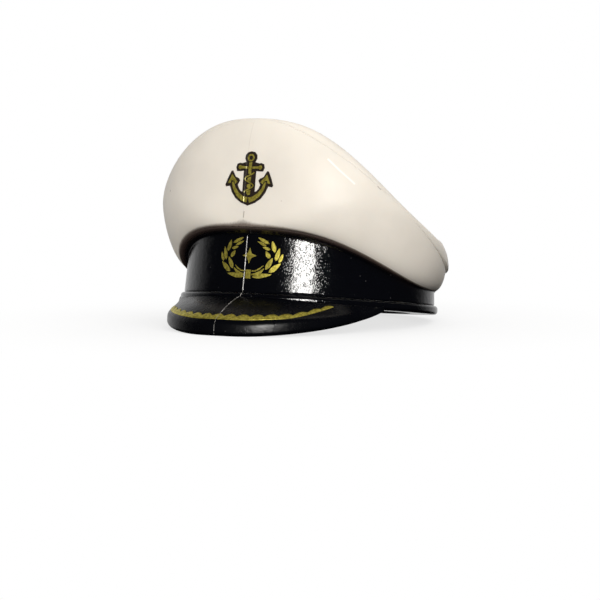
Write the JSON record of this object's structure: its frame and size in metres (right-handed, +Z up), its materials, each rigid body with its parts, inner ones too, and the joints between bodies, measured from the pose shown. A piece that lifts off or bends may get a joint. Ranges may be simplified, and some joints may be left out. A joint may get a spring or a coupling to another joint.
{
  "type": "toy peaked cap",
  "caption": "Moulded toy peaked cap with swept white crown, black band and visor, anchor badge and laurel print, recessed to fit a toy figure's head.",
  "frame": {"origin": "centre of the bounding box's base, on the table that the cap stands on", "axes": "+Z up, normal to the table; -Y out of the front, over the visor; +X to the wearer's left. The cap rests on its visor's front edge and the back of its bead, so the head's axis leans 6.53 degrees back from +Z"},
  "size_m": [0.0152, 0.0162, 0.0107],
  "materials": {
    "white_plastic": "semi-gloss moulded off-white",
    "socket_plastic": "satin moulded off-white",
    "black_plastic": "gloss black",
    "black_ink": "satin printed black",
    "gold_ink": "metallic gold printing ink"
  },
  "bodies": {
    "root": {"band_bead": "black_plastic", "head_socket": "socket_plastic", "band": "black_plastic", "crown_wall": "white_plastic", "crown_top": "white_plastic", "visor": "black_plastic", "visor_trim": "gold_ink", "crown_badge_ground": "black_ink", "crown_badge_anchor": "gold_ink", "band_sprig_left": "gold_ink", "band_sprig_right": "gold_ink", "band_sprig_tie": "gold_ink", "band_star": "gold_ink"}
  },
  "joints": []
}
